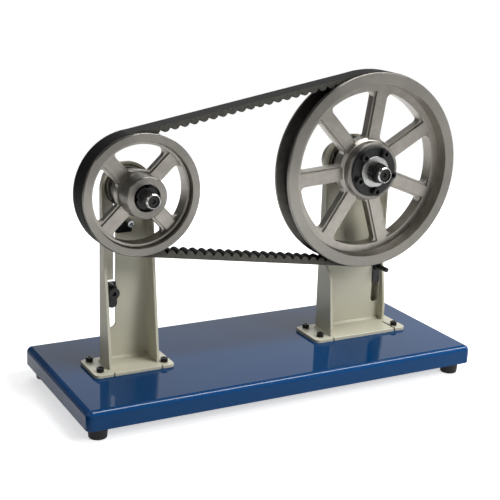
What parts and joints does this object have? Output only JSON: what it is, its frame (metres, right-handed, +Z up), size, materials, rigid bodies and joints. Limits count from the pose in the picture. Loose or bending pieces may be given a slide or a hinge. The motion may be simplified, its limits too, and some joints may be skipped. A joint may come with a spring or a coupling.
{
  "type": "belt pulley demonstration model",
  "caption": "Bench model with a small and a large spoked pulley on folded columns, joined by a cogged V-belt on a blue tray base.",
  "frame": {"origin": "middle of the whole model in plan, on the surface that the rubber feet stand on", "axes": "+X along the base from the small pulley to the large one, +Y from the front to the back, +Z up"},
  "size_m": [0.507, 0.214, 0.3686],
  "materials": {
    "base_enamel": "glossy blue baked enamel",
    "column_paint": "satin warm grey powder coat",
    "cast_alloy": "cast alloy, turned and satin finished",
    "turned_steel": "turned bright steel",
    "zinc_steel": "bright zinc plated steel",
    "black_steel": "black oxide steel",
    "housing_iron": "machined grey cast iron",
    "bearing_steel": "ground bearing steel",
    "belt_rubber": "matt black moulded rubber",
    "foot_rubber": "matt black rubber",
    "cap_plastic": "moulded black plastic"
  },
  "bodies": {
    "stand": {"base_tray": "base_enamel", "drive_belt": "belt_rubber", "foot_gussets": "base_enamel", "foot_nuts": "zinc_steel", "foot_screws": "zinc_steel", "left_backing_plate": "zinc_steel", "left_bearing_housing": "housing_iron", "left_bearing_outer_rings": "bearing_steel", "left_carrier_plate": "column_paint", "left_column": "column_paint", "left_foot_plate": "column_paint", "left_height_screw": "zinc_steel", "left_housing_screws": "black_steel", "left_lock_plate": "black_steel", "left_mount_nuts": "zinc_steel", "left_mount_screws": "black_steel", "left_rear_cap": "cap_plastic", "left_welds": "column_paint", "right_backing_plate": "zinc_steel", "right_bearing_housing": "housing_iron", "right_bearing_outer_rings": "bearing_steel", "right_carrier_plate": "column_paint", "right_column": "column_paint", "right_foot_plate": "column_paint", "right_housing_screws": "black_steel", "right_mount_nuts": "zinc_steel", "right_mount_screws": "black_steel", "right_rear_cap": "cap_plastic", "right_slot_cover": "column_paint", "right_welds": "column_paint", "rubber_feet": "foot_rubber"},
    "small_rotor": {"small_pulley": "cast_alloy", "small_pulley_key": "turned_steel", "small_pulley_washer": "black_steel", "small_pulley_nut": "black_steel", "left_bearing_inner_rings": "bearing_steel", "left_ball_cages": "bearing_steel", "left_shaft_spacer": "turned_steel", "left_circlip": "black_steel", "left_shaft": "turned_steel", "left_shaft_end_screw": "black_steel"},
    "large_rotor": {"large_pulley": "cast_alloy", "large_pulley_bush": "black_steel", "bush_screws": "black_steel", "large_pulley_key": "turned_steel", "large_pulley_washer": "turned_steel", "large_pulley_nut": "black_steel", "large_pulley_jam_nut": "black_steel", "right_bearing_inner_rings": "bearing_steel", "right_ball_cages": "bearing_steel", "right_shaft_spacer": "turned_steel", "right_circlip": "black_steel", "right_shaft": "turned_steel", "right_shaft_end_screw": "black_steel"},
    "left_clamp": {"left_slide_block": "black_steel", "left_clamp_screw": "black_steel", "left_clamp_nut": "zinc_steel"},
    "right_clamp": {"right_slide_block": "black_steel", "right_clamp_stud": "black_steel", "right_clamp_nut": "black_steel"}
  },
  "joints": [
    {"name": "large_pulley_spin", "type": "hinge", "parent": "stand", "child": "large_rotor", "pos_m": [0.13495, 0, 0.25], "axis": [0, 1, 0], "continuous": true},
    {"name": "small_pulley_spin", "type": "hinge", "parent": "stand", "child": "small_rotor", "pos_m": [-0.16255, 0, 0.2445], "axis": [0, 1, 0], "continuous": true},
    {"name": "left_clamp_slide", "type": "slide", "parent": "stand", "child": "left_clamp", "axis": [0, 0, 1], "range_m": [-0.025, 0.0027]},
    {"name": "right_clamp_slide", "type": "slide", "parent": "stand", "child": "right_clamp", "axis": [0, 0, 1], "range_m": [-0.0245, 0.0155]}
  ],
  "couplings": [
    {"joint": "small_pulley_spin", "follows": "large_pulley_spin", "ratio": 1.775}
  ]
}
